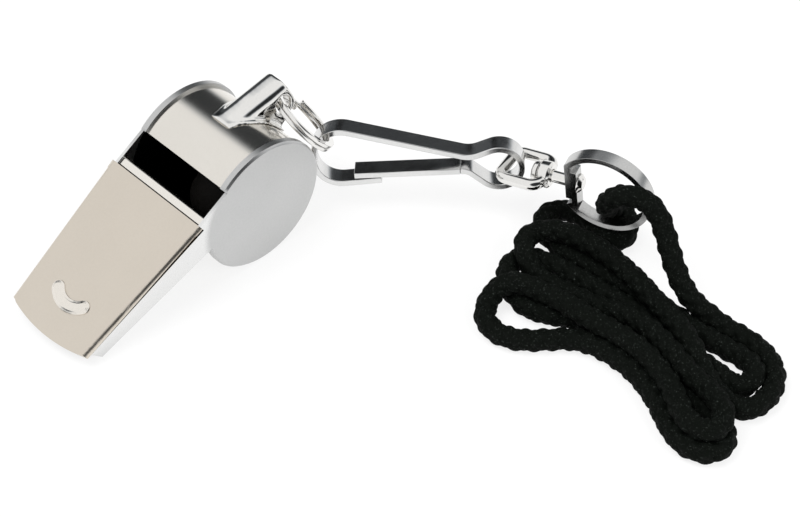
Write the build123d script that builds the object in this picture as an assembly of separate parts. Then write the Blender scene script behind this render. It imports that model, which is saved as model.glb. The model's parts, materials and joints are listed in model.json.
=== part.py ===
import os
from math import acos, atan2, cos, degrees, pi, radians, sin, sqrt, tan

from build123d import *

os.makedirs("parts", exist_ok=True)

# A pea whistle in sheet metal on a snap hook, a swivel ring and a black cord.
# Millimetres. X runs along the whistle with its mouth at -X, and Z is up.
# The whistle rests on its drum and on the lower lip of its mouth.

# Whistle body
cheek_radius = 11.5
whistle_width = 20.0
sheet = 0.5
rim_flange = 1.3
rim_round = 0.35
top_height = 11.1
mouth_reach = 35.6
mouth_bow = 1.4
mouth_width_share = 0.845
mouth_height = 4.45
mouth_rake = 1.5
wall_setback = 0.4
neck_depth = 7.0
window_front = 9.3
labium_angle = 104.0
windway_gap = 0.4
floor_rear = 7.7
floor_setback = 1.0
floor_round = 0.45
plate_lip = 1.0
plate_round = 0.45
drum_axis_x = 9.4

# Tooth grip pressed in the top plate
grip_reach = 30.0
grip_sagitta = 1.3
grip_span = 6.0
grip_band = 2.3
grip_height = 0.7
grip_round = 0.5

# Hooded lug on the back of the drum
lug_toe_angle = 62.0
lug_rear_reach = 16.9
lug_rear_rise = 5.75
lug_top_width = 3.7
lug_flare_share = 0.22
lug_toe_depth = 3.0
lug_rear_depth = 9.5
lug_lobe_reach = 16.4
lug_lobe_rise = 1.2
lug_foot_angle = 3.0
lug_lobe_round = 1.6
lug_top_round = 1.6
lug_hole_reach = 14.2
lug_hole_rise = 3.3
lug_hole = 2.9
lug_flange = 0.8
lug_flange_sheet = 0.4

# Cork pea
pea_diameter = 11.0
pea_clearance = 0.15
pea_bands = 8
pea_sides = 16

# Split ring of two turns of flat wire
ring_mean_radius = 5.65
ring_wire_wide = 1.1
ring_wire_tall = 0.7
ring_turn_gap = 0.05
ring_seat_reach = 14.66
ring_seat_side = 1.2
ring_seat_rise = 2.66
ring_pull = (0.42, -0.54, -0.72)
ring_across = (0.549, 0.788, -0.271)

# Snap hook bent from one spring strip
strip_width = 3.4
strip = 1.0
hook_heading = 47.4
hook_lean = 8.0
hook_height = 11.0
hook_back_run = 1.1
hook_nose_reach = 11.6
hook_nose_slope = 0.17
hook_waist_reach = 25.6
hook_waist_rise = 6.6
hook_waist_round_share = 0.38
hook_neck_room = 1.15
hook_eye_rise = 5.0
hook_eye_radius = 3.65
hook_seat_room = 0.42
hook_seat_angle = 148.0
gate_root_room = 1.35
gate_root_rise = 4.15
gate_root_round_share = 0.65
gate_root_run = 1.2
gate_tip_reach = 7.1
gate_rest_gap = 0.05

# Swivel link, rivet and cord ring
link_wire = 1.9
link_width = 7.7
link_length = 6.8
link_corner = 1.7
link_room = 0.9
link_sides = 12
link_boss = 4.4
link_boss_tall = 2.2
link_boss_round = 0.4
link_aim = (0.32, -0.945, 0.1)
rivet_shank = 2.0
rivet_room = 0.1
rivet_head = 3.6
rivet_head_tall = 0.9
rivet_head_round = 0.3
rivet_reach = 2.65
rivet_peen = 3.2
rivet_peen_tall = 0.8
rivet_peen_round = 0.6
cord_ring_radius = 7.9
cord_ring_strip = 1.0
cord_ring_width = 2.2
cord_ring_chord_share = 0.709
cord_ring_lap = 3.1
cord_ring_facing = (-0.949, -0.299, -0.102)

# Cord, its hank and the clearances between loops
cord_diameter = 3.5
cord_sides = 6
cord_side_gap = 1.1
cord_layer_gap = 0.9
cord_floor_gap = 0.05
hank_centre_x = 36.9
hank_centre_y = -64.5
hank_skew = 7.0
hank_shoulder = 13.0
hank_inner_half = 3.35
hank_waist_draw = 1.9
hank_runs = 4

overrun = 3.0

# Whistle, in a frame on the drum's axis with the top plate level
band_outer = cheek_radius - sheet
band_inner = band_outer - sheet
half_width = whistle_width / 2
mouth_width = whistle_width * mouth_width_share
mouth_low_x = -(mouth_reach - mouth_rake)
mouth_low_z = top_height - mouth_height
notch_z = top_height - neck_depth
notch_x = -sqrt(cheek_radius**2 - notch_z**2)
notch_angle = degrees(atan2(notch_z, notch_x))
edge_z = top_height - sheet
taper = atan2(half_width - mouth_width / 2, notch_x - mouth_low_x)
lip_reach = sqrt(mouth_low_x**2 + mouth_low_z**2)
lip_angle = degrees(atan2(mouth_low_z, mouth_low_x))
pitch = 270 - lip_angle - degrees(acos(cheek_radius / lip_reach))
whistle_place = Location((drum_axis_x, 0, cheek_radius)) * Rotation(0, -pitch, 0)


def wall_half(x):
    return half_width - (notch_x - x) * tan(taper)


def low_edge(x):
    return notch_z + (mouth_low_z - notch_z) * (notch_x - x) / (notch_x - mouth_low_x)


def slab(outline, y_low, y_high):
    face = Plane((0, y_low, 0), x_dir=(1, 0, 0), z_dir=(0, -1, 0)) * outline
    return extrude(face, amount=y_low - y_high)


def across_drum(radius):
    return Rotation(90, 0, 0) * Cylinder(radius, whistle_width + 2 * overrun)


def make_cheek():
    rim = make_face(
        Polyline(
            (0, -half_width),
            (cheek_radius, -half_width),
            (cheek_radius, rim_flange - half_width),
            (band_outer, rim_flange - half_width),
            (band_outer, sheet - half_width),
            (0, sheet - half_width),
            close=True,
        )
    )
    corner = rim.vertices().sort_by_distance((cheek_radius, -half_width, 0))[0]
    rim = chamfer(corner, rim_round)
    disc_arc = 360 - (notch_angle - labium_angle)
    disc = Rotation(0, -labium_angle, 0) * revolve(rim, Axis.Y, revolution_arc=disc_arc)
    window_x = -edge_z * tan(radians(labium_angle - 91))
    throat = make_face(
        Polyline((0, 0), (window_x, edge_z), (notch_x, edge_z), (notch_x, notch_z), close=True)
    )
    throat = slab(throat, -half_width, sheet - half_width)
    side = Plane(
        (notch_x, -half_width, 0),
        x_dir=(-cos(taper), sin(taper), 0),
        z_dir=(sin(taper), cos(taper), 0),
    )
    top_run = (mouth_reach - wall_setback + notch_x) / cos(taper)
    low_run = (notch_x - mouth_low_x) / cos(taper)
    wall = make_face(
        Polyline((0, notch_z), (0, edge_z), (top_run, edge_z), (low_run, mouth_low_z), close=True)
    )
    wall = extrude(side * wall, amount=sheet)
    return disc + throat + wall


def plate_section(x, half, low, high, rounding):
    outline = make_face(
        Polyline((-half, low), (-half, high), (half, high), (half, low), close=True)
    )
    if rounding:
        outline = fillet(outline.vertices().group_by(Axis.Y)[-1], rounding)
    return Plane((x, 0, 0), x_dir=(0, 1, 0), z_dir=(1, 0, 0)) * outline


def make_top_plate():
    rear_x = -window_front
    tip_x = -(mouth_reach + mouth_bow + sheet)
    low = top_height - plate_lip
    skin = [
        plate_section(x, wall_half(x) + sheet, low, top_height, plate_round) for x in (rear_x, tip_x)
    ]
    inside = [
        plate_section(x, wall_half(x), low - overrun, edge_z, 0) for x in (rear_x, tip_x)
    ]
    plate = loft(skin, ruled=True) - loft(inside, ruled=True)
    tip_half = wall_half(-mouth_reach) + sheet
    wide = half_width + overrun
    sides = Polyline(
        (-mouth_reach, tip_half),
        (-mouth_reach, wide),
        (rear_x, wide),
        (rear_x, -wide),
        (-mouth_reach, -wide),
        (-mouth_reach, -tip_half),
    )
    bow = ThreePointArc(
        (-mouth_reach, -tip_half), (-(mouth_reach + mouth_bow), 0), (-mouth_reach, tip_half)
    )
    plan = extrude(make_face(sides + bow), amount=top_height + overrun)
    lip_end = Pos(notch_x + overrun / 2, 0, edge_z - overrun / 2) * Box(overrun, 2 * wide, overrun)
    plate = (plate & plan) - lip_end
    spine = ThreePointArc(
        (-grip_reach, -grip_span / 2),
        (-(grip_reach + grip_sagitta), 0),
        (-grip_reach, grip_span / 2),
    )
    grip = extrude(Pos(0, 0, edge_z) * SlotArc(spine, grip_band), amount=sheet + grip_height)
    grip = chamfer(grip.edges().group_by(Axis.Z)[-1], grip_round)
    return plate + grip


def inside_walls():
    far_x = -(mouth_reach + overrun)
    near_x = -(floor_rear - overrun)
    skin = sheet / cos(taper)
    right = [
        (near_x, sheet - half_width),
        (notch_x, sheet - half_width),
        (far_x, skin - wall_half(far_x)),
    ]
    left = [(x, -y) for x, y in reversed(right)]
    return extrude(make_face(Polyline(*right, *left, close=True)), amount=top_height)


def make_windway_floor():
    top = edge_z - windway_gap
    front_x = -(mouth_reach - floor_setback - mouth_rake)
    back_x = -floor_rear
    leg_z = sqrt(band_outer**2 - floor_rear**2) - overrun
    outline = make_face(
        Polyline(
            (front_x, top),
            (back_x, top),
            (back_x, leg_z),
            (back_x - sheet, leg_z),
            (back_x - sheet, top - sheet),
            (front_x + sheet, top - sheet),
            (front_x + sheet, low_edge(front_x + sheet) + sheet),
            (front_x, low_edge(front_x) + sheet),
            close=True,
        )
    )
    nose = outline.vertices().sort_by_distance((back_x, top, 0))[0]
    outline = fillet(nose, floor_round)
    plate = slab(outline, -half_width, half_width) & inside_walls()
    return plate - across_drum(band_outer)


def make_underside():
    rear_x = notch_x + overrun
    outline = make_face(
        Polyline(
            (mouth_low_x, mouth_low_z),
            (rear_x, low_edge(rear_x)),
            (rear_x, low_edge(rear_x) + sheet),
            (mouth_low_x, mouth_low_z + sheet),
            close=True,
        )
    )
    plate = slab(outline, -half_width, half_width) & inside_walls()
    return plate - across_drum(band_outer)


def make_drum_band():
    side = half_width - sheet
    front_angle = degrees(acos(-floor_rear / band_outer))
    section = Pos((band_inner + band_outer) / 2, 0, 0) * Rectangle(band_outer - band_inner, 2 * side)
    band_arc = 360 - (front_angle - labium_angle)
    return Rotation(0, -labium_angle, 0) * revolve(section, Axis.Y, revolution_arc=band_arc)


def make_lug():
    toe_turn = radians(lug_toe_angle)
    toe = Vector(band_outer * cos(toe_turn), 0, band_outer * sin(toe_turn) + sheet)
    rear = Vector(lug_rear_reach, 0, lug_rear_rise)
    ridge = (rear - toe).normalized()
    spine_up = Vector(-ridge.Z, 0, ridge.X)

    def section(at, depth, grow, drop):
        half = lug_top_width / 2 + grow
        wide = half + lug_flare_share * depth
        plane = Plane(at - spine_up * drop, x_dir=(0, 1, 0), z_dir=ridge)
        flip = 1 if plane.y_dir.dot(spine_up) > 0 else -1
        outline = make_face(
            Polyline((-half, 0), (half, 0), (wide, -flip * depth), (-wide, -flip * depth), close=True)
        )
        tops = outline.vertices().sort_by_distance((half, 0, 0))[:1]
        tops += outline.vertices().sort_by_distance((-half, 0, 0))[:1]
        return plane * fillet(tops, lug_top_round + grow)

    def hood(grow, drop, start, stop):
        ends = [
            section(toe + ridge * start, lug_toe_depth, grow, drop),
            section(rear + ridge * stop, lug_rear_depth, grow, drop),
        ]
        return loft(ends, ruled=True)

    outer = hood(0, 0, 0, overrun)
    inner = hood(-sheet, sheet, sheet, 2 * overrun)
    foot_x = band_inner * cos(radians(lug_foot_angle))
    foot_z = band_inner * sin(radians(lug_foot_angle))
    reach = toe - ridge * overrun + spine_up * overrun
    crown = rear + spine_up * overrun
    outline = make_face(
        Polyline(
            (0, 0),
            (reach.X, reach.Z),
            (crown.X, crown.Z),
            (lug_rear_reach, lug_rear_rise),
            (lug_lobe_reach, lug_lobe_rise),
            (foot_x, foot_z),
            close=True,
        )
    )
    lobe = outline.vertices().sort_by_distance((lug_lobe_reach, lug_lobe_rise, 0))[0]
    outline = fillet(lobe, lug_lobe_round)
    side_view = slab(outline, -half_width, half_width)
    skirt = hood(lug_flange, 0, -lug_flange, overrun) & side_view
    skirt = skirt & (across_drum(band_outer + lug_flange_sheet) - across_drum(band_outer))
    walls = (outer & side_view) - across_drum(band_outer)
    eye = slab(Circle(lug_hole / 2), -half_width, half_width)
    eye = Pos(lug_hole_reach, 0, lug_hole_rise) * eye
    return (walls + skirt) - inner - eye


right_cheek = make_cheek()
left_cheek = mirror(right_cheek, Plane.XZ)
whistle_parts = {
    "right_cheek": right_cheek,
    "left_cheek": left_cheek,
    "top_plate": make_top_plate(),
    "windway_floor": make_windway_floor(),
    "underside_plate": make_underside(),
    "drum_band": make_drum_band(),
    "lug": make_lug(),
}
parts = {name: whistle_place * shape for name, shape in whistle_parts.items()}

# Pea, lying at the bottom of the drum
pea_drop = band_inner - pea_diameter / 2 - pea_clearance
pea_turns = [pi * (i + 0.5) / pea_bands for i in range(pea_bands)]
pea_rings = [
    Pos(0, 0, pea_diameter / 2 * cos(a)) * RegularPolygon(pea_diameter / 2 * sin(a), pea_sides)
    for a in reversed(pea_turns)
]
pea_ball = loft(pea_rings, ruled=True)
parts["pea"] = Pos(drum_axis_x, 0, cheek_radius - pea_drop) * pea_ball

# Split ring, hung in the lug and pulled towards the hook
seat = (whistle_place * Pos(ring_seat_reach, -ring_seat_side, ring_seat_rise)).position
pull = Vector(*ring_pull).normalized()
across = Vector(*ring_across)
across = (across - pull * across.dot(pull)).normalized()
ring_face = pull.cross(across)
ring_pitch = ring_wire_tall + ring_turn_gap
ring_centre = seat + pull * ring_mean_radius
ring_plane = Plane(ring_centre - ring_face * ring_pitch, x_dir=across, z_dir=ring_face)
coil = Helix(ring_pitch, 2 * ring_pitch, ring_mean_radius)
wire_plane = Plane((ring_mean_radius, 0, 0), x_dir=(1, 0, 0), z_dir=(0, 1, 0))
wire = wire_plane * Rectangle(ring_wire_wide, ring_wire_tall)
parts["split_ring"] = ring_plane.location * sweep(wire, coil, is_frenet=True)
hang = ring_centre + pull * ring_mean_radius

# Snap hook, in a frame with its length along x and its height along y
heading = Vector(cos(radians(hook_heading)), -sin(radians(hook_heading)), 0)
outward = Vector(-sin(radians(hook_heading)), -cos(radians(hook_heading)), 0)
hook_axis = outward * cos(radians(hook_lean)) + Vector(0, 0, sin(radians(hook_lean)))
hook_up = hook_axis.cross(heading)
hook_bend_radius = (hook_height - strip - hook_back_run) / 2
hook_eye_reach = hook_waist_reach + hook_eye_radius + hook_neck_room
gate_root_reach = hook_eye_reach - hook_eye_radius - gate_root_room
bend_mid = strip / 2 + hook_bend_radius
rise_high = hook_height - strip / 2
bend_low = strip / 2 + hook_bend_radius
nose_turn = atan2(hook_nose_slope, 1)
arm_slope = (rise_high - hook_waist_rise) / (hook_waist_reach - bend_mid)
nose_low_x = bend_mid + hook_bend_radius * sin(nose_turn)
nose_low_y = bend_low - hook_bend_radius * cos(nose_turn)
nose_tip = (hook_nose_reach, nose_low_y + (hook_nose_reach - nose_low_x) * hook_nose_slope)
arm_turn = atan2(arm_slope, 1)
high_centre = rise_high - hook_bend_radius
arm_touch = (
    bend_mid + hook_bend_radius * sin(arm_turn),
    high_centre + hook_bend_radius * cos(arm_turn),
)
waist = (hook_waist_reach, arm_touch[1] - (hook_waist_reach - arm_touch[0]) * arm_slope)


def tangent_point(x, y, side):
    dx = x - hook_eye_reach
    dy = y - hook_eye_rise
    away = sqrt(dx**2 + dy**2)
    turn = atan2(dy, dx) + side * acos(hook_eye_radius / away)
    return (hook_eye_reach + hook_eye_radius * cos(turn), hook_eye_rise + hook_eye_radius * sin(turn))


def corner_radius(before, corner, after, run):
    turn = atan2(after[1] - corner[1], after[0] - corner[0])
    turn -= atan2(corner[1] - before[1], corner[0] - before[0])
    return run / abs(tan(turn / 2))


eye_top = tangent_point(*waist, -1)
root_corner = (gate_root_reach, gate_root_rise)
eye_low = tangent_point(*root_corner, 1)
nose_top_x = nose_tip[0]
nose_top_y = nose_tip[1] + strip / 2 / cos(nose_turn)
gate_slope = (gate_root_rise - nose_top_y - gate_rest_gap - strip / 2) / (gate_root_reach - nose_top_x)
root_end = (gate_root_reach - gate_root_run, gate_root_rise - gate_root_run * gate_slope)
gate_tip = (gate_tip_reach, gate_root_rise - (gate_root_reach - gate_tip_reach) * gate_slope)
nose_bend = CenterArc((bend_mid, bend_low), hook_bend_radius, 180, 90 + degrees(nose_turn))
back_bend = CenterArc(
    (bend_mid, high_centre), hook_bend_radius, 90 - degrees(arm_turn), 90 + degrees(arm_turn)
)
back_line = Line((strip / 2, bend_low), (strip / 2, high_centre))
nose_line = Line(nose_tip, (nose_low_x, nose_low_y))
neck_run = hook_waist_round_share * sqrt((eye_top[0] - waist[0]) ** 2 + (eye_top[1] - waist[1]) ** 2)
waist_round = corner_radius(arm_touch, waist, eye_top, neck_run)
arm_line = FilletPolyline(arm_touch, waist, eye_top, radius=waist_round)
eye_line = ThreePointArc(eye_top, (hook_eye_reach + hook_eye_radius, hook_eye_rise), eye_low)
root_run = gate_root_round_share * gate_root_run
root_round = corner_radius(eye_low, root_corner, root_end, root_run)
root_line = FilletPolyline(eye_low, root_corner, root_end, radius=root_round)
hook_edges = Curve() + [nose_line, nose_bend, back_line, back_bend, arm_line, eye_line, root_line]
hook_face = trace(hook_edges, strip)
seat_radius = hook_bend_radius - strip / 2 - hook_seat_room - ring_pitch
seat_x = bend_mid + seat_radius * cos(radians(hook_seat_angle))
seat_y = high_centre + seat_radius * sin(radians(hook_seat_angle))
hook_origin = hang - heading * seat_x - hook_up * seat_y
hook_plane = Plane(hook_origin, x_dir=heading, z_dir=hook_axis)
parts["snap_hook"] = hook_plane.location * extrude(hook_face, amount=strip_width / 2, both=True)
gate_face = trace(Line(root_end, gate_tip), strip)
parts["hook_gate"] = hook_plane.location * extrude(gate_face, amount=strip_width / 2, both=True)

# Swivel link through the hook's eye
bar_reach = hook_eye_reach + hook_eye_radius - strip / 2 - link_room - link_wire / 2
link_bar = hook_origin + heading * bar_reach + hook_up * hook_eye_rise
aim = Vector(*link_aim).normalized()
facing = Vector(*cord_ring_facing)
facing = (facing - aim * facing.dot(aim)).normalized()
link_side = (hook_axis - aim * hook_axis.dot(aim)).normalized()
link_plane = Plane(link_bar, x_dir=aim, z_dir=aim.cross(link_side))
link_face = RectangleRounded(link_length, link_width, link_corner)
link_path = (Pos(link_length / 2, 0, 0) * link_face).wire()
link_section = RegularPolygon(link_wire / 2, link_sides)
link_loop = sweep(Plane(link_path @ 0, z_dir=link_path % 0) * link_section, link_path)
boss_plane = Plane((link_length, 0, 0), x_dir=(0, 1, 0), z_dir=(1, 0, 0))
boss = extrude(boss_plane * Circle(link_boss / 2), amount=link_boss_tall / 2, both=True)
boss = chamfer(boss.edges().filter_by(GeomType.CIRCLE), link_boss_round)
bore = extrude(boss_plane * Circle(rivet_shank / 2 + rivet_room), amount=overrun, both=True)
parts["swivel_link"] = link_plane.location * (link_loop + boss - bore)

# Rivet, with its head inside the link and its peened end inside the cord ring
turn_plane = Plane(link_bar, x_dir=link_side, z_dir=aim)
head_at = link_length - link_boss_tall / 2 - rivet_room - rivet_head_tall
bridge_at = link_length + link_boss_tall / 2 + rivet_reach
bridge_thick = 2 * cord_ring_strip
shank_end = bridge_at + bridge_thick
head = Pos(0, 0, head_at) * extrude(Circle(rivet_head / 2), amount=rivet_head_tall)
head = chamfer(head.edges().group_by(Axis.Z)[0], rivet_head_round)
shank = Pos(0, 0, head_at) * extrude(Circle(rivet_shank / 2), amount=shank_end - head_at)
peen = Pos(0, 0, shank_end) * extrude(Circle(rivet_peen / 2), amount=rivet_peen_tall)
peen = chamfer(peen.edges().group_by(Axis.Z)[-1], rivet_peen_round)
parts["swivel_rivet"] = turn_plane.location * (head + shank + peen)

# Cord ring, a strip bent round with its ends lapped on the rivet
cord_ring_chord = cord_ring_radius * cord_ring_chord_share
ring_mid = bridge_at + bridge_thick / 2 + cord_ring_chord
rim_line = cord_ring_radius - cord_ring_strip / 2
chord_x = -(cord_ring_chord + bridge_thick / 2 - cord_ring_strip / 2)
chord_y = sqrt(rim_line**2 - chord_x**2)
rim_angle = degrees(atan2(chord_y, chord_x))
rim = CenterArc((0, 0), rim_line, -rim_angle, 2 * rim_angle)
outer_lap = Line((chord_x, chord_y), (chord_x, -cord_ring_lap))
inner_x = chord_x + cord_ring_strip
inner_y = sqrt(rim_line**2 - inner_x**2)
inner_lap = Line((inner_x, -inner_y), (inner_x, cord_ring_lap))
band = trace(Curve() + [rim, outer_lap], cord_ring_strip) + trace(inner_lap, cord_ring_strip)
ring_up = facing.cross(aim)
cord_ring_plane = Plane(link_bar + aim * ring_mid, x_dir=aim, z_dir=facing)
cord_ring = cord_ring_plane.location * extrude(band, amount=cord_ring_width / 2, both=True)
rivet_hole = turn_plane.location * Pos(0, 0, bridge_at) * Cylinder(rivet_shank / 2, 2 * overrun)
parts["cord_ring"] = cord_ring - rivet_hole

# Hank: two layers of two loops, wound in below and out again above
skew = radians(hank_skew)
run_dir = Vector(sin(skew), -cos(skew), 0)
side_dir = Vector(cos(skew), sin(skew), 0)
low_z = cord_diameter / 2 + cord_floor_gap
hank_origin = Vector(hank_centre_x, hank_centre_y, low_z)
cord_step = cord_diameter + cord_side_gap
cord_layer = cord_diameter + cord_layer_gap
half_step = cord_step / 2


def hank_point(along, out, up):
    return hank_origin + run_dir * along + side_dir * out + Vector(0, 0, up)


def biarc(start, start_dir, end, end_dir):
    span = end - start
    both = start_dir + end_dir
    spread = 2 * (1 - start_dir.dot(end_dir))
    lean = span.dot(both)
    if spread < 1e-9:
        reach = span.dot(span) / (4 * span.dot(end_dir))
    else:
        reach = (sqrt(lean**2 + spread * span.dot(span)) - lean) / spread
    middle = (start + end + (start_dir - end_dir) * reach) / 2
    first = Edge.make_tangent_arc(start, start_dir, middle)
    second = Edge.make_tangent_arc(end, -end_dir, middle)
    return [first, second]


# Half widths of the runs, from the first lower one to the last upper one
runs = [hank_inner_half + half_step * (hank_runs - 1 - i) for i in range(hank_runs)]
runs += [hank_inner_half + half_step * (i + 1) for i in range(hank_runs)]
nodes = []
lead = runs[0] + half_step
apex = (lead + runs[0]) / 2
nodes.append((hank_point(-hank_shoulder - apex, half_step / 2, 0), -side_dir))
for i, half in enumerate(runs):
    way = 1 if i % 2 == 0 else -1
    sign = -way
    before = 0 if i < hank_runs else cord_layer
    after = 0 if i < hank_runs - 1 else cord_layer
    flow = run_dir * way
    rising = (flow * hank_shoulder + Vector(0, 0, after - before)).normalized()
    nodes.append((hank_point(-way * hank_shoulder, sign * half, before), flow))
    if i < len(runs) - 1:
        middle = (before + after) / 2
        nodes.append((hank_point(0, sign * (half - hank_waist_draw), middle), rising))
        nodes.append((hank_point(way * hank_shoulder, sign * half, after), flow))
hank_edges = []
for (a, a_dir), (b, b_dir) in zip(nodes, nodes[1:]):
    if a_dir.dot(b_dir) < -0.5:
        turn_mid = (a + b) / 2 + a_dir * ((b - a).length / 2)
        hank_edges.append(Edge.make_tangent_arc(a, a_dir, turn_mid))
        hank_edges.append(Edge.make_tangent_arc(b, -b_dir, turn_mid))
    else:
        hank_edges += biarc(a, a_dir, b, b_dir)
hank_start, hank_start_dir = nodes[0]
hank_end, hank_end_dir = nodes[-1]
hank_path = Wire(hank_edges)
start_plane = Plane(hank_path @ 0, z_dir=hank_path % 0)
cord_section = RegularPolygon(cord_diameter / 2, cord_sides, rotation=180 / cord_sides)
hank_tube = sweep(start_plane * cord_section, hank_path)
parts["cord_hank"] = hank_tube

# Cord between the hank's two ends, threaded through the cord ring
bight_lead = 4.6
bight_route = [
    hank_end,
    hank_end + hank_end_dir * bight_lead,
    Vector(50.1, -66.4, 7.7),
    Vector(49.1, -62.1, 11.1),
    Vector(47.9, -58.4, 14.7),
    Vector(47.2, -55.1, 16.6),
    Vector(47.2, -51.3, 16.7),
    Vector(49.8, -48.4, 14.5),
    Vector(54.0, -48.5, 11.9),
    Vector(57.0, -50.1, 9.6),
    Vector(57.5, -50.6, 6.1),
    Vector(55.3, -49.7, low_z),
    Vector(48.6, -47.1, low_z),
    Vector(43.6, -41.4, low_z),
    hank_start - hank_start_dir * bight_lead,
    hank_start,
]
turns = []
for a, b, c in zip(bight_route, bight_route[1:], bight_route[2:]):
    bend = radians((b - a).get_angle(c - b))
    shorter = min((b - a).length, (c - b).length)
    turns.append(0.45 * shorter / tan(bend / 2))
bight_path = FilletPolyline(*bight_route, radius=turns)
bight_plane = Plane(hank_end, z_dir=hank_end_dir)
parts["cord_bight"] = sweep(bight_plane * cord_section, bight_path)

section_area = cord_section.area
for name, path in (("cord_bight", bight_path), ("cord_hank", hank_path)):
    share = parts[name].volume / (section_area * path.length)
    print(name, "length", round(path.length, 1), "volume share", round(share, 4))
print("bight radii", [round(r, 1) for r in turns])
print("hank radii", sorted(round(e.radius, 1) for e in hank_edges if e.geom_type == GeomType.CIRCLE)[:6])

# Least gap between loops, on points far enough apart along the cord
count = int(hank_path.length)
spots = [hank_path @ (i / count) for i in range(count + 1)]
skip = int(3 * cord_diameter)
least = min(
    (spots[i] - spots[j]).length for i in range(count + 1) for j in range(i + skip, count + 1)
)
print("hank least gap", round(least - cord_diameter, 2))

for name, shape in parts.items():
    export_step(shape, f"parts/{name}.step")
    box = shape.bounding_box()
    print(name, len(shape.solids()), round(shape.volume, 2), [round(v, 2) for v in (*box.min, *box.max)])
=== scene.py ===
import bpy
import bmesh
import json
from math import atan2, cos, floor, hypot, pi, radians, sin
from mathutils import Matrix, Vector, noise


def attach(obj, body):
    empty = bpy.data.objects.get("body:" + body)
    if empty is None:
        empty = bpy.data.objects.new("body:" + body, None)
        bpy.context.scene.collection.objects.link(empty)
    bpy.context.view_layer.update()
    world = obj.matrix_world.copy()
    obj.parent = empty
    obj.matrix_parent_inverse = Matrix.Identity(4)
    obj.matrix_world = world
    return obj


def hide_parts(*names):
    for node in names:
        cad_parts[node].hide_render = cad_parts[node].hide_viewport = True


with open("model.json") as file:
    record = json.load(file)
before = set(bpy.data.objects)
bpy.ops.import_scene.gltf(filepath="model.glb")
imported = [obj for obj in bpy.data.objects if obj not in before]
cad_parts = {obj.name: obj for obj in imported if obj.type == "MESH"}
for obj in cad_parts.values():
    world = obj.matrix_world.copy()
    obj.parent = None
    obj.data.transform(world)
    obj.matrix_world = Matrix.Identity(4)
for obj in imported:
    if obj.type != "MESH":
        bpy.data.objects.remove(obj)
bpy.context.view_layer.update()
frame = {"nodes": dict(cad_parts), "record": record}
nodes = frame["nodes"]
scene = bpy.context.scene
scene.view_settings.view_transform = "Standard"
mm = 0.001


class Socket:
    # a shader value that takes part in Python sums
    def __init__(self, tree, out):
        self.tree = tree
        self.out = out

    def node(self, kind, settings=None, outlet=0, **values):
        made = self.tree.nodes.new(kind)
        for name, value in (settings or {}).items():
            if name == "stops":
                ramp = made.color_ramp.elements
                while len(ramp) < len(value):
                    ramp.new(0.5)
                for stop, (at, colour) in zip(ramp, value):
                    stop.position = at
                    stop.color = (*colour, 1)
            else:
                setattr(made, name, value)
        for name, value in values.items():
            key = int(name[1:]) if name[0] == "_" else name.replace("_", " ")
            inlet = made.inputs[key]
            if isinstance(value, Socket):
                self.tree.links.new(value.out, inlet)
            else:
                inlet.default_value = value
        return Socket(self.tree, made.outputs[outlet])

    def maths(self, operation, other=None, swap=False):
        pair = [self] if other is None else ([other, self] if swap else [self, other])
        inputs = {f"_{i}": value for i, value in enumerate(pair)}
        return self.node("ShaderNodeMath", {"operation": operation}, **inputs)

    def __add__(self, other): return self.maths("ADD", other)
    def __sub__(self, other): return self.maths("SUBTRACT", other)
    def __rsub__(self, other): return self.maths("SUBTRACT", other, True)
    def __mul__(self, other): return self.maths("MULTIPLY", other)
    def __pow__(self, other): return self.maths("POWER", other)

    def blend(self, low, high):
        return self.node("ShaderNodeMix", {"data_type": "RGBA"}, 2, _0=self, _6=low, _7=high)

    def ramp(self, *stops):
        return self.node("ShaderNodeValToRGB", {"stops": stops}, Fac=self)


def newMaterial(name):
    made = bpy.data.materials.new(name)
    made.use_nodes = True
    shader = made.node_tree.nodes["Principled BSDF"]
    start = Socket(made.node_tree, None)
    return made, shader, start


def feed(shader, **inputs):
    for name, value in inputs.items():
        inlet = shader.inputs[name.replace("_", " ")]
        if isinstance(value, Socket):
            value.tree.links.new(value.out, inlet)
        else:
            inlet.default_value = value


def rgb(r, g, b):
    return (r, g, b, 1)


def objectFrom(shape, name):
    mesh = bpy.data.meshes.new(name)
    shape.to_mesh(mesh)
    shape.free()
    made = bpy.data.objects.new(name, mesh)
    scene.collection.objects.link(made)
    return made


# Camera, at the angle and distance that the picture was taken from
cameraPlace = {
    "at": (-155.868 * mm, -194.822 * mm, 258.245 * mm),
    "turn": (43.7807, -1.6259, -45.0831),
    "lens": 100,
    "sensor": 36,
    "clipStart": 0.01,
}
eye = bpy.data.cameras.new("eye")
eye.lens = cameraPlace["lens"]
eye.sensor_width = cameraPlace["sensor"]
eye.clip_start = cameraPlace["clipStart"]
eyeObject = bpy.data.objects.new("eye", eye)
eyeObject.location = cameraPlace["at"]
eyeObject.rotation_euler = [radians(a) for a in cameraPlace["turn"]]
scene.collection.objects.link(eyeObject)
scene.camera = eyeObject
print("camera set")


# Floor, soft boxes and the surround that the metal mirrors
def plainQuad(name, sizeX, sizeY):
    shape = bmesh.new()
    bmesh.ops.create_grid(shape, x_segments=1, y_segments=1, size=0.5)
    bmesh.ops.scale(shape, vec=(sizeX, sizeY, 1), verts=shape.verts)
    made = objectFrom(shape, name)
    return made


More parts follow.
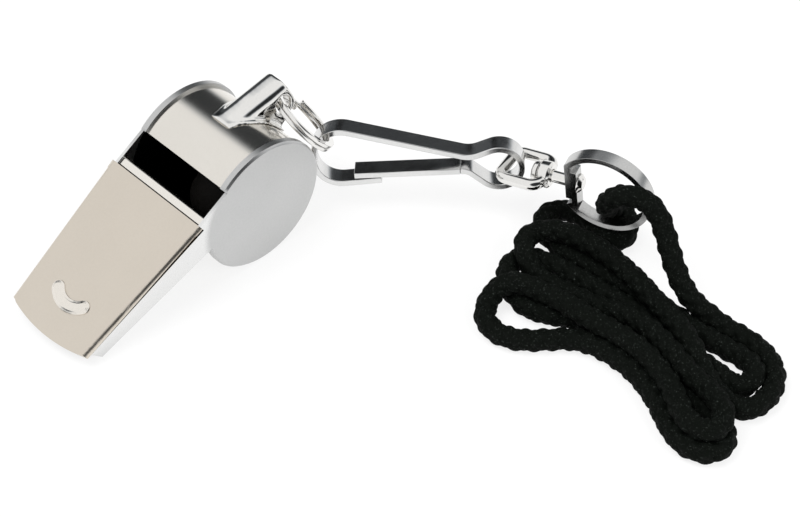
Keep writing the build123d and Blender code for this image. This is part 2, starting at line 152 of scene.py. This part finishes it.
studio = {
    "floorSize": 3.0,
    "floorDrop": 0.05 * mm,
    "floorColour": rgb(0.9, 0.9, 0.9),
    "floorRough": 0.9,
    "floorLift": 0.8,
    "mirroredLift": 0.8,
    "worldLight": 0.62,
    "mirrorLight": 1.0,
    "darkPatches": [
        {"towards": (0.70, 0.50, 0.50), "inner": 17, "outer": 33, "depth": 0.95},
        {"towards": (-0.15, -0.76, 0.60), "inner": 27, "outer": 40, "depth": 0.97},
        {"towards": (-0.90, 0.40, 0.16), "inner": 4, "outer": 14, "depth": 0.80},
        {"towards": (0.80, -0.58, 0.16), "inner": 4, "outer": 14, "depth": 0.80},
        {"towards": (0.34, 0.88, 0.32), "inner": 14, "outer": 28, "depth": 0.92},
    ],
    "patchColour": rgb(0.86, 0.93, 1.0),
    "boxes": [
        {"name": "keyBox", "at": (-0.30, 0.10, 0.75), "size": 0.45, "power": 5.0},
        {"name": "fillBox", "at": (0.10, -0.70, 0.50), "size": 0.50, "power": 3.2},
    ],
    "aim": (0.01, -0.03, 0.01),
}


def aimAt(thing, target):
    way = Vector(target) - thing.location
    thing.rotation_euler = way.to_track_quat("-Z", "Y").to_euler()


floorMat, floorShader, floorStart = newMaterial("paleFloor")
feed(floorShader, Base_Color=studio["floorColour"], Roughness=studio["floorRough"])
cameraRay = floorStart.node("ShaderNodeLightPath", outlet="Is Camera Ray")
glossyRay = floorStart.node("ShaderNodeLightPath", outlet="Is Glossy Ray")
glow = floorStart.node("ShaderNodeEmission", Color=rgb(1, 1, 1), Strength=1.0)
lift = (cameraRay + glossyRay * studio["mirroredLift"]) * studio["floorLift"]
matte = Socket(floorMat.node_tree, floorShader.outputs[0])
floorMix = floorStart.node("ShaderNodeMixShader", Fac=lift, _1=matte, _2=glow)
floorEnd = floorMat.node_tree.nodes["Material Output"]
floorMat.node_tree.links.new(floorMix.out, floorEnd.inputs[0])
floorPlane = plainQuad("floor", studio["floorSize"], studio["floorSize"])
floorPlane.location.z = -studio["floorDrop"]
floorPlane.data.materials.append(floorMat)

for spec in studio["boxes"]:
    lamp = bpy.data.lights.new(spec["name"], "AREA")
    lamp.size = spec["size"]
    lamp.energy = spec["power"]
    lampObject = bpy.data.objects.new(spec["name"], lamp)
    lampObject.location = spec["at"]
    scene.collection.objects.link(lampObject)
    lampObject.visible_glossy = False
    aimAt(lampObject, studio["aim"])

world = bpy.data.worlds.new("studioWorld")
scene.world = world
world.use_nodes = True
sky = world.node_tree.nodes["Background"]
skyStart = Socket(world.node_tree, None)
seen = skyStart.node("ShaderNodeLightPath", outlet="Is Camera Ray")
through = skyStart.node("ShaderNodeLightPath", outlet="Is Transmission Ray")
seen = (seen + through).maths("MINIMUM", 1.0)
mirrored = skyStart.node("ShaderNodeLightPath", outlet="Is Glossy Ray")
way = skyStart.node("ShaderNodeTexCoord", outlet="Generated")
brightness = None
for patch in studio["darkPatches"]:
    near = skyStart.node(
        "ShaderNodeVectorMath", {"operation": "DOT_PRODUCT"}, "Value",
        _0=way, _1=Vector(patch["towards"]).normalized(),
    )
    fade = skyStart.node(
        "ShaderNodeMapRange", {"interpolation_type": "SMOOTHSTEP"}, Value=near,
        From_Min=cos(radians(patch["outer"])), From_Max=cos(radians(patch["inner"])),
        To_Min=1.0, To_Max=1.0 - patch["depth"],
    )
    brightness = fade if brightness is None else brightness * fade
strength = seen * (1 - studio["worldLight"]) + studio["worldLight"]
strength = mirrored * (brightness * studio["mirrorLight"] - strength) + strength
world.node_tree.links.new(strength.out, sky.inputs["Strength"])
skyColour = (mirrored * (1 - brightness)).blend(rgb(1, 1, 1), studio["patchColour"])
world.node_tree.links.new(skyColour.out, sky.inputs["Color"])
print("studio set")


# Plated finishes
drumAxis = Vector((9.4 * mm, 0, 11.5 * mm))
chamber = {
    "radius": 10.62 * mm, "half": 9.56 * mm, "wallFrom": 11.3 * mm, "wallTo": 13.0 * mm,
}


def drumReach(start, coords):
    # distance from the drum's axis, and from the middle of its width
    x, y, z = (
        start.node("ShaderNodeSeparateXYZ", outlet=axis, Vector=coords) for axis in "XYZ"
    )
    reach = ((x - drumAxis.x) ** 2 + (z - drumAxis.z) ** 2).maths("SQRT")
    return reach, y.maths("ABSOLUTE")


def noiseOver(start, coords, size, detail):
    return start.node("ShaderNodeTexNoise", Vector=coords, Scale=size, Detail=detail)


def platedMetal(name, look):
    made, shader, start = newMaterial(name)
    coords = start.node("ShaderNodeTexCoord", outlet="Object")
    stretched = start.node("ShaderNodeMapping", Vector=coords, Scale=look["grainScale"])
    grain = noiseOver(start, stretched, look["grainSize"], look["grainDetail"])
    cloud = noiseOver(start, coords, look["cloudSize"], look["cloudDetail"])
    speck = noiseOver(start, coords, look["speckSize"], look["speckDetail"])
    dullness = (cloud - 0.5) * look["cloudRough"] + (grain - 0.5) * look["grainRough"]
    dullness = dullness + look["rough"]
    tone = cloud * look["cloudTone"] + speck * look["speckTone"]
    colour = tone.blend(look["shade"], look["colour"])
    if look["chamber"]:
        reach, aside = drumReach(start, coords)
        wall = start.node(
            "ShaderNodeMapRange", {"interpolation_type": "SMOOTHSTEP"}, Value=reach,
            From_Min=chamber["wallFrom"], From_Max=chamber["wallTo"],
        )
        colour = wall.blend(colour, look["wallColour"])
        dullness = wall * look["wallRough"] + dullness
        # painted shade: the chamber's inner faces, inside the drum's radius and width, are coloured
        # near black
        within = reach.maths("LESS_THAN", chamber["radius"])
        insideShadeMask = within * aside.maths("LESS_THAN", chamber["half"])
        colour = insideShadeMask.blend(colour, look["insideShadeColour"])
        dullness = insideShadeMask * look["insideRough"] + dullness
    height = grain * look["grainDepth"] + speck * look["speckDepth"]
    bump = start.node(
        "ShaderNodeBump", Height=height, Strength=look["bump"], Distance=look["bumpDepth"] * mm,
    )
    if look["wave"]:
        swell = noiseOver(start, coords, look["waveSize"], look["waveDetail"])
        bump = start.node(
            "ShaderNodeBump", Height=swell, Strength=1.0, Distance=look["wave"] * mm, Normal=bump,
        )
    feed(shader, Base_Color=colour, Roughness=dullness, Metallic=1.0, Normal=bump)
    return made


baseLook = {
    "grainScale": (1, 14, 1), "grainSize": 260.0, "cloudSize": 90.0, "speckSize": 2600.0,
    "grainDetail": 4.0, "cloudDetail": 3.0, "speckDetail": 2.0,
    "cloudRough": 0.06, "grainRough": 0.08, "rough": 0.2, "cloudTone": 0.6, "speckTone": 0.4,
    "shade": rgb(0.62, 0.6, 0.57), "colour": rgb(0.8, 0.78, 0.74),
    "grainDepth": 0.5, "speckDepth": 0.5, "bump": 0.12, "bumpDepth": 0.02,
    "wave": 0, "waveSize": 160.0, "waveDetail": 1.0,
    # near-black painted shade for the chamber's inner faces
    "chamber": False, "insideShadeColour": rgb(0.006, 0.007, 0.006), "insideRough": 0.3,
    "wallColour": rgb(0.77, 0.77, 0.765), "wallRough": -0.2,
}
finishes = {
    "plateNickel": {
        "shade": rgb(0.62, 0.565, 0.49), "colour": rgb(0.71, 0.65, 0.57), "rough": 0.3,
        "bump": 0.16,
    },
    "lipNickel": {
        "shade": rgb(0.78, 0.75, 0.70), "colour": rgb(0.88, 0.85, 0.80), "rough": 0.2, "bump": 0.08,
    },
    "cheekSatin": {
        "shade": rgb(0.47, 0.475, 0.475), "colour": rgb(0.66, 0.66, 0.655), "rough": 0.36,
        "bump": 0.3, "cloudSize": 60.0, "chamber": True,
    },
    "drumNickel": {
        "shade": rgb(0.70, 0.67, 0.62), "colour": rgb(0.80, 0.77, 0.72), "rough": 0.17,
        "bump": 0.08, "chamber": True,
    },
    "lugBright": {
        "shade": rgb(0.70, 0.69, 0.67), "colour": rgb(0.86, 0.85, 0.83), "rough": 0.08,
        "bump": 0.03, "wave": 0.25, "waveSize": 150.0,
    },
    # the grip's relief: lower roughness for polish, and a lighter colour as painted highlight
    "gripPolishHighlight": {
        "shade": rgb(0.74, 0.70, 0.64), "colour": rgb(0.86, 0.82, 0.76), "rough": 0.16,
        "bump": 0.08,
    },
    # near-black painted shade, used on the windway's floor under the plate's rear edge
    "paintedShadeInside": {
        "shade": rgb(0.012, 0.012, 0.011), "colour": rgb(0.02, 0.02, 0.018), "rough": 0.6,
    },
    "wireBright": {
        "shade": rgb(0.72, 0.71, 0.69), "colour": rgb(0.84, 0.83, 0.81), "rough": 0.1, "bump": 0.04,
    },
    "hookStrip": {
        "shade": rgb(0.6, 0.6, 0.6), "colour": rgb(0.8, 0.8, 0.79), "rough": 0.2,
        "bump": 0.14, "wave": 1.1, "waveSize": 110.0,
    },
    "ringStrip": {
        "shade": rgb(0.42, 0.42, 0.42), "colour": rgb(0.62, 0.62, 0.61), "rough": 0.2,
        "bump": 0.12, "wave": 0.9, "waveSize": 110.0,
    },
}
finishes = {name: {**baseLook, **look} for name, look in finishes.items()}
metals = {name: platedMetal(name, look) for name, look in finishes.items()}


def corkMaterial(look):
    made, shader, start = newMaterial("corkPeaPaintedShade")
    coords = start.node("ShaderNodeTexCoord", outlet="Object")
    cells = start.node("ShaderNodeTexVoronoi", Vector=coords, Scale=look["cellSize"])
    blotch = noiseOver(start, coords, look["blotchSize"], look["blotchDetail"])
    pores = blotch.ramp((look["poreFrom"], (0, 0, 0)), (look["poreTo"], (1, 1, 1)))
    tone = cells * look["cellTone"] + blotch * look["blotchTone"]
    height = cells * look["cellHeight"] + pores * look["poreHeight"]
    bump = start.node(
        "ShaderNodeBump", Height=height, Strength=look["bump"], Distance=look["bumpDepth"] * mm,
    )
    colour = tone.blend(look["dark"], look["pale"])
    feed(shader, Base_Color=colour, Roughness=look["rough"], Normal=bump)
    return made


# the cork's colours are near black: painted shade for the pea deep inside the drum
shadedCork = corkMaterial({
    "cellSize": 2200.0, "blotchSize": 500.0, "blotchDetail": 5.0, "poreFrom": 0.38, "poreTo": 0.46,
    "dark": rgb(0.003, 0.0025, 0.002), "pale": rgb(0.007, 0.006, 0.005), "rough": 0.85,
    "cellTone": 0.5, "blotchTone": 0.5, "cellHeight": 0.3, "poreHeight": 0.7,
    "bump": 0.5, "bumpDepth": 0.2,
})
print("finishes made")


# Metal pieces: the solids' own shapes, with softened edges
dressing = {
    "right_cheek": {"finish": "cheekSatin", "edge": 0.09},
    "left_cheek": {"finish": "cheekSatin", "edge": 0.09},
    "top_plate": {
        "finish": "plateNickel", "edge": 0.08, "roundFrom": 0.45, "roundTo": 0.95,
        "raised": 0.45, "raisedShare": 0.5,
    },
    "windway_floor": {"finish": "lipNickel", "edge": 0.12, "paintedShadeBehind": True},
    "underside_plate": {"finish": "drumNickel", "edge": 0.06},
    "drum_band": {"finish": "drumNickel", "edge": 0.06},
    "lug": {
        "finish": "lugBright", "edge": 0.07, "pressed": 0.15, "toeShare": 0.9, "lugWide": 1.14,
    },
    "split_ring": {"finish": "wireBright", "edge": 0.14},
    "snap_hook": {"finish": "hookStrip", "edge": 0.14},
    "hook_gate": {"finish": "hookStrip", "edge": 0.12},
    "swivel_link": {"finish": "wireBright", "edge": 0.06, "sharp": 40},
    "swivel_rivet": {"finish": "wireBright", "edge": 0.06},
    "cord_ring": {"finish": "ringStrip", "edge": 0.14},
}
bodies = frame["record"]["behaviour"]["bodies"]
bodyOf = {name: body for body, members in bodies.items() for name in members}
slitShade = 0.22 * mm
# how the plate's flat top, long sides and grip are told apart
plateTests = {
    "upward": 0.7, "level": 0.999, "below": 1.1, "cornerBias": 0.3, "roundSlack": 0.002 * mm,
    "roundFit": 0.03 * mm, "standsUp": 0.02 * mm, "onGrip": 0.05 * mm,
    "gripCrease": radians(8), "gripSegments": 3,
}
# welding, creases and smoothing of every metal piece
clean = {
    "weld": 0.002 * mm, "flatTurn": radians(0.6), "creaseDegrees": 28, "sharpTurn": radians(50),
    "edgeSegments": 2, "cut": 0.001 * mm, "ease": 0.5, "easeRounds": 40,
}
# places of the near-black painted-shade material and of the grip's lighter material (polish and
# painted highlight) in each piece's list of materials
paintedShadeSlot, gripHighlightSlot = 1, 2


def plateFlat():
    # a point on the plate's flat top, its normal, the way to its rear and the rear edge's place
    mesh = nodes["top_plate"].data
    areas = {}
    for face in mesh.polygons:
        if face.normal.z > plateTests["upward"]:
            key = tuple(round(c, 2) for c in face.normal)
            areas[key] = areas.get(key, 0) + face.area
    level = Vector(max(areas, key=areas.get)).normalized()
    flat = [f for f in mesh.polygons if f.normal.dot(level) > plateTests["level"]]
    big = max(flat, key=lambda face: face.area)
    spot, level = big.center.copy(), big.normal.copy()
    ahead = Vector((level.z, 0, -level.x))
    rear = max((mesh.vertices[i].co - spot).dot(ahead) for f in flat for i in f.vertices)
    return spot, level, ahead, rear


plateSpot, plateLevel, plateAhead, plateRear = plateFlat()
print("plate", [round(c, 4) for c in plateLevel], "rear", round(plateRear * 1000, 2))


def bevelled(shape, edges, width, segments):
    bmesh.ops.bevel(
        shape, geom=edges, offset=width * mm, offset_type="OFFSET", affect="EDGES",
        segments=segments, profile=0.5, material=-1, clamp_overlap=True,
    )


def turnsMore(edge, angle):
    return len(edge.link_faces) == 2 and edge.calc_face_angle(0) > angle


def heightOver(vert):
    return (vert.co - plateSpot).dot(plateLevel)


def alongPlate(vert):
    return (vert.co - plateSpot).dot(plateAhead)


def softenPlate(shape, look):
    # give the plate's long sides a fuller round, then lower and soften its raised grip
    small, large = look["roundFrom"] * mm, look["roundTo"] * mm
    ends = [v for v in shape.verts if heightOver(v) < -small * plateTests["below"]]
    near, far = (
        max(ends, key=lambda v: abs(v.co.y) - bias * alongPlate(v))
        for bias in (plateTests["cornerBias"], -plateTests["cornerBias"])
    )
    tilt = (abs(far.co.y) - abs(near.co.y)) / (alongPlate(far) - alongPlate(near))
    for vert in shape.verts:
        half = abs(near.co.y) + tilt * (alongPlate(vert) - alongPlate(near))
        across = abs(vert.co.y) - (half - small)
        up = heightOver(vert) + small
        offRound = abs((across * across + up * up) ** 0.5 - small)
        if min(across, up) > -plateTests["roundSlack"] and offRound < plateTests["roundFit"]:
            newAcross = half - large + across / small * large
            vert.co += plateLevel * ((up / small * large - large) - heightOver(vert))
            vert.co.y = newAcross if vert.co.y > 0 else -newAcross
    for vert in shape.verts:
        up = heightOver(vert)
        if up > plateTests["standsUp"]:
            vert.co -= plateLevel * up * (1 - look["raisedShare"])
    raised = [
        e for e in shape.edges
        if max(heightOver(v) for v in e.verts) > plateTests["onGrip"]
        and turnsMore(e, plateTests["gripCrease"])
    ]
    bevelled(shape, raised, look["raised"], plateTests["gripSegments"])
    # the grip's faces take the lighter, smoother material: polish and painted highlight
    for face in shape.faces:
        if sum(heightOver(v) for v in face.verts) / len(face.verts) > plateTests["onGrip"]:
            face.material_index = gripHighlightSlot


def shadeBehindSlit(shape):
    # painted shade: the windway's own part of its floor takes the near-black painted-shade
    # material, up to just past the plate's rear edge
    bmesh.ops.bisect_plane(
        shape, geom=shape.verts[:] + shape.edges[:] + shape.faces[:], dist=clean["cut"],
        plane_co=plateSpot + plateAhead * (plateRear + slitShade), plane_no=plateAhead,
    )
    for face in shape.faces:
        if (face.calc_center_median() - plateSpot).dot(plateAhead) < plateRear + slitShade:
            face.material_index = paintedShadeSlot


def shapeHood(shape, look):
    # draw the toe back round the drum and widen the whole lug, its foot too
    turns = {v: atan2(v.co.z - drumAxis.z, v.co.x - drumAxis.x) for v in shape.verts}
    rear = min(turns.values())
    for vert, turn in turns.items():
        reach = hypot(vert.co.z - drumAxis.z, vert.co.x - drumAxis.x)
        drawn = rear + (turn - rear) * look["toeShare"]
        vert.co.x = drumAxis.x + reach * cos(drawn)
        vert.co.z = drumAxis.z + reach * sin(drawn)
        vert.co.y *= look["lugWide"]


def smoothCopy(name, look):
    shape = bmesh.new()
    shape.from_mesh(nodes[name].data)
    bmesh.ops.remove_doubles(shape, verts=shape.verts, dist=clean["weld"])
    bmesh.ops.dissolve_limit(
        shape, angle_limit=clean["flatTurn"], verts=shape.verts, edges=shape.edges,
        delimit={"NORMAL"},
    )
    if "raised" in look:
        softenPlate(shape, look)
    if "toeShare" in look:
        shapeHood(shape, look)
    crease = radians(look.get("sharp", clean["creaseDegrees"]))
    creased = [e for e in shape.edges if turnsMore(e, crease)]
    bevelled(shape, creased, look["edge"], clean["edgeSegments"])
    if "paintedShadeBehind" in look:
        shadeBehindSlit(shape)
    for face in shape.faces:
        face.smooth = True
    for edge in shape.edges:
        edge.smooth = not turnsMore(edge, clean["sharpTurn"])
    made = objectFrom(shape, name + "_dressed")
    for finish in (look["finish"], "paintedShadeInside", "gripPolishHighlight"):
        made.data.materials.append(metals[finish])
    if "pressed" in look:
        skin = made.modifiers.new("skin", "REMESH")
        skin.mode = "VOXEL"
        skin.voxel_size = look["pressed"] * mm
        skin.use_smooth_shade = True
        ease = made.modifiers.new("ease", "SMOOTH")
        ease.factor = clean["ease"]
        ease.iterations = clean["easeRounds"]
    else:
        flatten = made.modifiers.new("flatten", "WEIGHTED_NORMAL")
        flatten.keep_sharp = True
    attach(made, bodyOf[name])
    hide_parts(name)
    return made


dressed = {name: smoothCopy(name, look) for name, look in dressing.items()}
print("metal dressed")

# Cork pea, a ball with a slightly uneven skin
peaLook = {"detail": 5, "uneven": 0.06, "bumps": 900.0}


def corkBall(name, look):
    spots = [v.co for v in nodes[name].data.vertices]
    low = Vector([min(s[i] for s in spots) for i in range(3)])
    high = Vector([max(s[i] for s in spots) for i in range(3)])
    middle = (low + high) / 2
    radius = (high.x - low.x) / 2
    shape = bmesh.new()
    bmesh.ops.create_icosphere(
        shape, subdivisions=look["detail"], radius=radius - look["uneven"] * mm,
    )
    for vert in shape.verts:
        lift = noise.noise(vert.co * look["bumps"]) * look["uneven"] * mm
        vert.co += vert.co.normalized() * lift
    bmesh.ops.translate(shape, vec=middle, verts=shape.verts)
    for face in shape.faces:
        face.smooth = True
    made = objectFrom(shape, name + "_cork")
    made.data.materials.append(shadedCork)
    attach(made, bodyOf[name])
    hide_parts(name)


corkBall("pea", peaLook)
print("pea made")

# Cord: one braided line from behind the ring, round the hank's loops and up to the ring again
cordLook = {
    "diameter": 3.5, "sides": 36, "ringStep": 0.3, "resolution": 14, "order": 3,
    "braidPairs": 5, "braidRise": 2.8, "braidDepth": 0.5, "braidSunk": 0.75,
    "strandRound": 0.8, "strandLow": 0.55, "strandRise": 0.45,
}
# places on the cord's middle line, in millimetres
cordRoute = [
    (55.0, -45.0, 5.83), (55.4, -46.7, 3.64), (53.5, -48.4, 1.95), (50.9, -47.8, 1.80),
    (51.4, -44.8, 1.80), (51.8, -41.7, 1.80), (51.5, -38.6, 1.80), (49.8, -36.1, 1.80),
    (46.9, -35.8, 1.80), (44.7, -37.9, 1.80), (44.0, -40.9, 1.80), (44.0, -44.0, 1.80),
    (44.3, -47.1, 1.80), (44.6, -50.2, 1.80), (44.9, -53.3, 1.80), (45.2, -56.4, 1.80),
    (45.5, -59.5, 1.80), (45.8, -62.6, 1.80), (45.9, -65.7, 1.80), (45.8, -68.8, 1.80),
    (46.0, -71.9, 1.80), (46.3, -74.9, 1.80), (46.8, -78.0, 1.80), (45.9, -80.7, 2.48),
    (43.9, -82.3, 3.02), (41.6, -81.5, 1.80), (41.3, -78.5, 1.80), (41.5, -75.4, 1.80),
    (41.1, -72.3, 1.80), (41.0, -69.2, 1.80), (41.2, -66.1, 1.80), (41.6, -63.0, 1.80),
    (41.8, -59.9, 1.80), (41.8, -56.8, 1.80), (41.4, -53.7, 1.80), (41.1, -50.7, 1.80),
    (40.7, -47.6, 1.80), (40.3, -44.5, 1.80), (39.3, -41.6, 1.80), (37.3, -39.3, 1.80),
    (34.3, -39.5, 1.80), (32.1, -41.7, 1.80), (30.8, -44.5, 1.80), (30.3, -47.5, 1.80),
    (31.4, -50.4, 1.80), (33.1, -53.0, 1.80), (34.7, -55.6, 1.80), (35.8, -58.6, 1.80),
    (36.5, -61.6, 1.80), (36.9, -64.6, 1.80), (36.8, -67.7, 1.80), (36.3, -70.8, 1.80),
    (35.4, -73.8, 1.80), (34.6, -76.8, 1.80), (34.2, -79.8, 1.80), (34.0, -82.9, 1.80),
    (33.0, -85.9, 1.80), (30.3, -87.1, 1.80), (27.7, -85.7, 1.80), (26.8, -82.8, 1.80),
    (27.5, -79.8, 1.80), (28.9, -77.0, 1.80), (30.4, -74.3, 1.80), (31.6, -71.4, 1.80),
    (32.4, -68.4, 1.80), (32.7, -65.4, 1.80), (32.5, -62.3, 1.80), (31.8, -59.2, 1.80),
    (30.2, -56.6, 1.80), (27.8, -54.6, 1.80), (25.4, -52.6, 1.80), (23.5, -50.2, 1.80),
    (22.8, -47.2, 1.80), (23.9, -44.3, 1.80), (26.4, -42.7, 2.15), (28.9, -42.7, 3.91),
    (30.9, -44.6, 5.06), (32.1, -47.4, 4.60), (32.7, -50.4, 4.84), (33.1, -53.5, 5.07),
    (33.5, -56.5, 4.75), (34.0, -59.6, 4.44), (34.6, -62.6, 4.33), (34.8, -65.7, 4.32),
    (34.5, -68.8, 4.31), (33.7, -71.8, 4.23), (32.6, -74.7, 4.27), (30.9, -77.3, 4.51),
    (29.2, -79.9, 4.70), (28.5, -82.9, 4.60), (30.1, -85.4, 4.61), (33.0, -85.0, 5.04),
    (34.7, -82.5, 5.01), (35.6, -79.5, 4.79), (35.8, -76.4, 4.96), (36.5, -73.4, 5.11),
    (37.5, -70.5, 4.94), (38.3, -67.5, 4.72), (39.0, -64.5, 4.29), (39.1, -61.4, 3.83),
    (38.8, -58.4, 3.15), (38.3, -55.5, 2.19), (37.8, -52.5, 1.80), (37.1, -49.5, 1.80),
    (36.4, -46.4, 1.84), (36.1, -43.5, 2.72), (36.7, -41.1, 4.49), (38.7, -38.9, 4.88),
    (41.5, -38.8, 4.29), (43.5, -40.9, 5.10), (44.6, -43.8, 5.30), (45.2, -46.8, 5.30),
    (45.5, -49.9, 5.30), (45.4, -53.0, 5.05), (45.0, -56.1, 5.08), (44.5, -59.1, 4.92),
    (43.9, -62.1, 4.52), (43.3, -65.2, 4.46), (42.3, -68.1, 4.85), (41.1, -70.9, 5.08),
    (39.8, -73.7, 4.71), (38.7, -76.4, 3.55), (38.0, -79.2, 2.37), (37.8, -82.2, 1.80),
    (38.8, -84.9, 1.80), (41.7, -85.6, 1.80), (44.8, -85.2, 1.80), (47.5, -83.6, 1.80),
    (49.3, -81.2, 1.84), (50.1, -78.2, 1.80), (50.1, -75.1, 1.80), (49.4, -72.1, 2.04),
    (48.7, -69.3, 3.25), (48.0, -66.6, 4.46), (48.0, -64.0, 6.14), (48.5, -61.7, 8.24),
    (49.3, -59.6, 10.28), (50.0, -57.6, 12.60), (50.2, -55.7, 15.01), (49.4, -53.4, 16.86),
    (48.2, -50.6, 16.64), (47.9, -48.4, 14.56), (48.5, -47.0, 11.89), (50.0, -46.0, 9.35),
    (52.4, -45.3, 7.49), (55.0, -45.0, 5.83),
]
line = bpy.data.curves.new("cordLine", "CURVE")
line.dimensions = "3D"
line.resolution_u = cordLook["resolution"]
spline = line.splines.new("NURBS")
spline.points.add(len(cordRoute) - 1)
for point, spot in zip(spline.points, cordRoute):
    point.co = (*[c * mm for c in spot], 1)
spline.order_u = cordLook["order"]
spline.use_endpoint_u = True
lineObject = bpy.data.objects.new("cordLine", line)
scene.collection.objects.link(lineObject)
bpy.context.view_layer.update()
lineMesh = bpy.data.meshes.new_from_object(lineObject)
linePoints = [v.co.copy() for v in lineMesh.vertices]
bpy.data.objects.remove(lineObject)
bpy.data.meshes.remove(lineMesh)


def evenSteps(points, step):
    spots = [points[0]]
    left = step
    for a, b in zip(points, points[1:]):
        span = (b - a).length
        while span >= left and span > 0:
            a = a.lerp(b, left / span)
            spots.append(a)
            span = (b - a).length
            left = step
        left -= span
    return spots


def braidHeight(along, turn):
    pairs, rise = cordLook["braidPairs"], cordLook["braidRise"]
    a = turn * pairs + along / rise
    b = turn * pairs - along / rise
    fa, fb = a - floor(a) - 0.5, b - floor(b) - 0.5
    if (floor(a) + floor(b)) % 2:
        fa, fb = fb, fa
    bulge = cordLook["strandLow"] + cordLook["strandRise"] * cos(pi * fb)
    return cos(pi * fa) ** cordLook["strandRound"] * bulge


def braidTube(name, points, look):
    shape = bmesh.new()
    uv = shape.loops.layers.uv.new("UVMap")
    sides = look["sides"]
    core = (look["diameter"] / 2 - look["braidDepth"] * look["braidSunk"]) * mm
    normal = (points[1] - points[0]).orthogonal().normalized()
    rings = []
    for i, spot in enumerate(points):
        ahead = points[min(i + 1, len(points) - 1)] - points[max(i - 1, 0)]
        ahead.normalize()
        normal = (normal - ahead * normal.dot(ahead)).normalized()
        other = ahead.cross(normal)
        ring = []
        for k in range(sides):
            turn = k / sides
            reach = core + look["braidDepth"] * mm * braidHeight(i * look["ringStep"], turn)
            out = normal * cos(2 * pi * turn) + other * sin(2 * pi * turn)
            ring.append(shape.verts.new(spot + out * reach))
        rings.append(ring)
    for i, (one, two) in enumerate(zip(rings, rings[1:])):
        for k in range(sides):
            face = shape.faces.new((one[k], one[(k + 1) % sides], two[(k + 1) % sides], two[k]))
            face.smooth = True
            for loop, (du, dv) in zip(face.loops, ((0, 0), (0, 1), (1, 1), (1, 0))):
                loop[uv].uv = ((i + du) * look["ringStep"], (k + dv) / sides)
    shape.faces.new(reversed(rings[0]))
    shape.faces.new(rings[-1])
    return objectFrom(shape, name)


def cordMaterial(look):
    made, shader, start = newMaterial("blackBraid")
    uvs = start.node("ShaderNodeTexCoord", outlet="UV")
    coords = start.node("ShaderNodeTexCoord", outlet="Object")
    fibres = start.node(
        "ShaderNodeMapping", Vector=uvs, Rotation=(0, 0, radians(look["fibreTurn"])),
        Scale=look["fibreScale"],
    )
    strand = noiseOver(start, fibres, look["strandSize"], look["detail"])
    fuzz = noiseOver(start, coords, look["fuzzSize"], look["detail"])
    # lighter flecks along the fibres: partly paler fibres, partly painted glints on the strands
    fibreGlint = (strand * fuzz).ramp((look["fibreGlintFrom"], (0, 0, 0)), (look["fibreGlintTo"], (1, 1, 1)))
    colour = fibreGlint.blend(look["black"], look["fibreGlint"])
    height = strand * look["strandHeight"] + fuzz * look["fuzzHeight"]
    bump = start.node(
        "ShaderNodeBump", Height=height, Strength=look["bump"], Distance=look["bumpDepth"] * mm,
    )
    feed(
        shader, Base_Color=colour, Roughness=look["rough"], Normal=bump,
        Specular_IOR_Level=look["gloss"],
    )
    return made


steps = evenSteps(linePoints, cordLook["ringStep"] * mm)
cord = braidTube("cord_braid", steps, cordLook)
# the fleck colour is partly paler fibres, partly painted glints
cord.data.materials.append(cordMaterial({
    "black": rgb(0.003, 0.0038, 0.003), "fibreGlint": rgb(0.05, 0.058, 0.052),
    "rough": 0.7, "gloss": 0.05, "fibreGlintFrom": 0.34, "fibreGlintTo": 0.44,
    "fibreTurn": 35, "fibreScale": (2.2, 90, 1), "strandSize": 1.6, "fuzzSize": 3200.0,
    "detail": 3.0, "strandHeight": 0.6, "fuzzHeight": 0.4, "bump": 0.5, "bumpDepth": 0.1,
}))
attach(cord, "lanyard")
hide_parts("cord_bight", "cord_hank")
cordLength = sum((b - a).length for a, b in zip(steps, steps[1:]))
[tuple(p) for p in steps[::3] + steps[-1:]]
print("cord made, length", round(cordLength, 4), "rings", len(steps))
